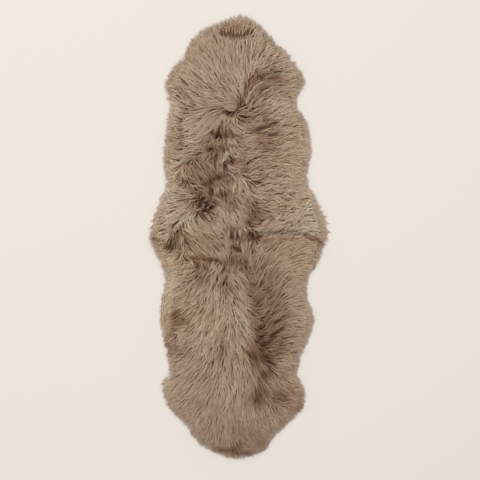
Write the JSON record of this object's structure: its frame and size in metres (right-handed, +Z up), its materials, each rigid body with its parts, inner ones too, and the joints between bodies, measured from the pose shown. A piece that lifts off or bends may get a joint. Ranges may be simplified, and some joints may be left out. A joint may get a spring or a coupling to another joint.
{
  "type": "sheepskin throw",
  "caption": "Long double sheepskin throw of two wool-on pelts sewn end to end, lying flat with shaggy brown-grey wool and a wavy woolly rim.",
  "frame": {"origin": "on the floor, under the middle of the throw's bounding box", "axes": "+Y along the throw's length towards the head end, +X across it, +Z up out of the wool"},
  "size_m": [0.721, 1.787, 0.0618],
  "materials": {
    "wool": "long combed wool, taupe brown with darker roots and paler tips",
    "hide": "matt suede on the flesh side"
  },
  "bodies": {
    "root": {"pelt_upper": "wool", "pelt_lower": "wool"}
  },
  "joints": []
}
